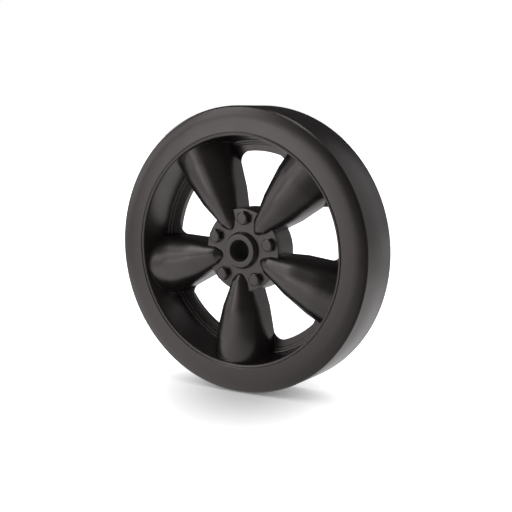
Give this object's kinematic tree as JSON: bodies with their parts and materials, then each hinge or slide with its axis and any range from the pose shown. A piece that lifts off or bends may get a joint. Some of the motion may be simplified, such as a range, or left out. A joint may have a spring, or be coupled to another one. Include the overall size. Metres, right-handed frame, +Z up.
{
  "type": "moulded spoked wheel",
  "caption": "One-piece moulded plastic wheel with round tapered spokes, a tyre-shaped rim, dummy hub nuts and a plain bore for an axle.",
  "frame": {"origin": "centre of the bore at the middle of the wheel's width", "axes": "+Y along the axle from the styled front to the open back, +Z up"},
  "size_m": [0.2, 0.04, 0.2],
  "materials": {
    "polypropylene": "black polypropylene, satin-matt moulded surface"
  },
  "bodies": {
    "root": {"wheel": "polypropylene"}
  },
  "joints": []
}
